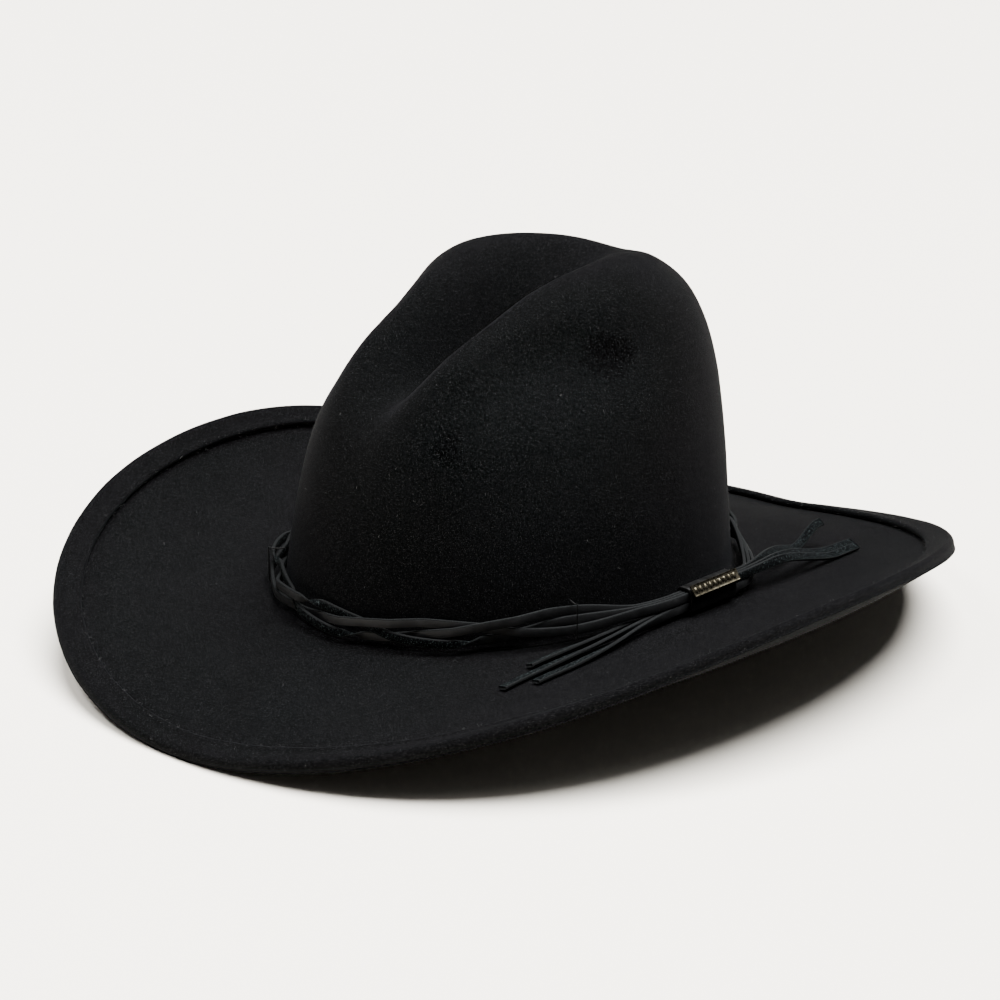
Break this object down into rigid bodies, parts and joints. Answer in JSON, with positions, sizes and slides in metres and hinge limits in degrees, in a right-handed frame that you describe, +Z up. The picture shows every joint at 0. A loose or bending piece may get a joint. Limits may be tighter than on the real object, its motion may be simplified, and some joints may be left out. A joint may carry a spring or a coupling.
{
  "type": "cowboy hat",
  "caption": "Wide-brimmed black felt western hat with a pinched, creased crown, folded brim edge and braided leather lace band with a sliding keeper.",
  "frame": {"origin": "under the middle of the hat's outline, on the surface that the brim's front and back stand on", "axes": "+Z up, -Y towards the front of the hat, +X towards the wearer's left; the hat is longest along Y and lowest along Z"},
  "size_m": [0.3542, 0.393, 0.1594],
  "materials": {
    "felt": "pressed wool felt, short nap, matte",
    "sweatband_leather": "smooth satin",
    "tape_cloth": "plain weave, matte",
    "reed_plastic": "satin",
    "thread": "twisted thread",
    "lining_satin": "satin weave, soft sheen",
    "piping": "satin-covered cord",
    "clear_vinyl": "clear, glossy",
    "label_cloth": "woven tape",
    "bow_ribbon": "grosgrain ribbon",
    "lace_leather": "smooth grain one side, suede on the other",
    "keeper_leather": "smooth satin",
    "aged_metal": "antique nickel with dark recesses"
  },
  "bodies": {
    "hat": {"felt_body": "felt", "sweatband": "sweatband_leather", "reed_tape": "tape_cloth", "sweatband_reed": "reed_plastic", "sweatband_stitching": "thread", "sweatband_seam_thread": "thread", "lining_side": "lining_satin", "lining_tip": "lining_satin", "lining_piping": "piping", "tip_guard": "clear_vinyl", "size_label": "label_cloth", "bow_loops": "bow_ribbon", "bow_tails": "bow_ribbon", "bow_knot": "bow_ribbon", "lace_1": "lace_leather", "lace_2": "lace_leather", "lace_3": "lace_leather", "band_tack_1": "thread", "band_tack_2": "thread", "band_tack_3": "thread", "band_tack_4": "thread"},
    "keeper": {"keeper_sleeve": "keeper_leather", "keeper_plate": "aged_metal"}
  },
  "joints": [
    {"name": "keeper_slide", "type": "slide", "parent": "hat", "child": "keeper", "axis": [0, 1, 0], "range_m": [-0.004, 0.004]}
  ]
}
